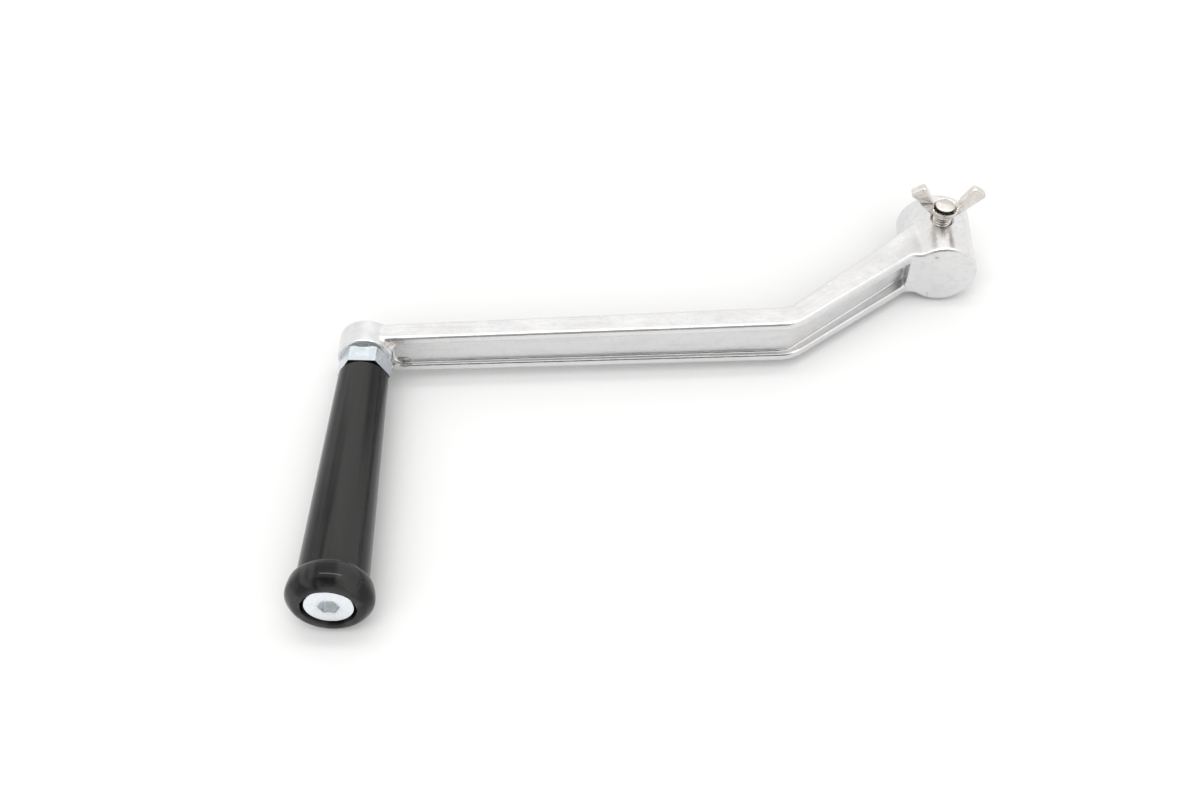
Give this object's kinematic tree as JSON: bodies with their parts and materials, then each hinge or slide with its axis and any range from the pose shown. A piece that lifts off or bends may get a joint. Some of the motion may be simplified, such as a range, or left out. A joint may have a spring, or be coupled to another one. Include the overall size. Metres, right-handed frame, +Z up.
{
  "type": "crank handle",
  "caption": "Hand crank with a dog-legged cast arm, a freely turning black grip and a bored hub with a winged clamp screw.",
  "frame": {"origin": "centre of the shaft bore's mouth, on the hub's rear face", "axes": "+X from the grip towards the hub across the crank's reach, +Y out of the shaft bore along its axis, +Z up along the clamp screw"},
  "size_m": [0.2654, 0.2058, 0.0473],
  "materials": {
    "cast_aluminium": "bright tumbled casting",
    "black_plastic": "glossy",
    "zinc_plate": "bright zinc plated, faintly blue",
    "nickel_steel": "warm grey satin, cast texture",
    "screw_steel": "bright turned stainless"
  },
  "bodies": {
    "arm": {"crank_arm": "cast_aluminium", "lock_nut": "zinc_plate", "grip_spindle": "zinc_plate"},
    "grip": {"grip_sleeve": "black_plastic"},
    "screw": {"clamp_stud": "screw_steel"},
    "wing": {"wing_head": "nickel_steel"}
  },
  "joints": [
    {"name": "grip_spin", "type": "hinge", "parent": "arm", "child": "grip", "pos_m": [-0.2343, -0.15, 0], "axis": [0, 1, 0], "continuous": true},
    {"name": "screw_travel", "type": "slide", "parent": "arm", "child": "screw", "axis": [0, 0, 1], "range_m": [-0.0018, 0.0064]},
    {"name": "wing_turn", "type": "hinge", "parent": "screw", "child": "wing", "pos_m": [0, -0.0141, 0.0185], "axis": [0, 0, 1], "range_deg": [-480, 1800]}
  ],
  "couplings": [
    {"joint": "screw_travel", "follows": "wing_turn", "m_per_rad": 0.00019894}
  ]
}
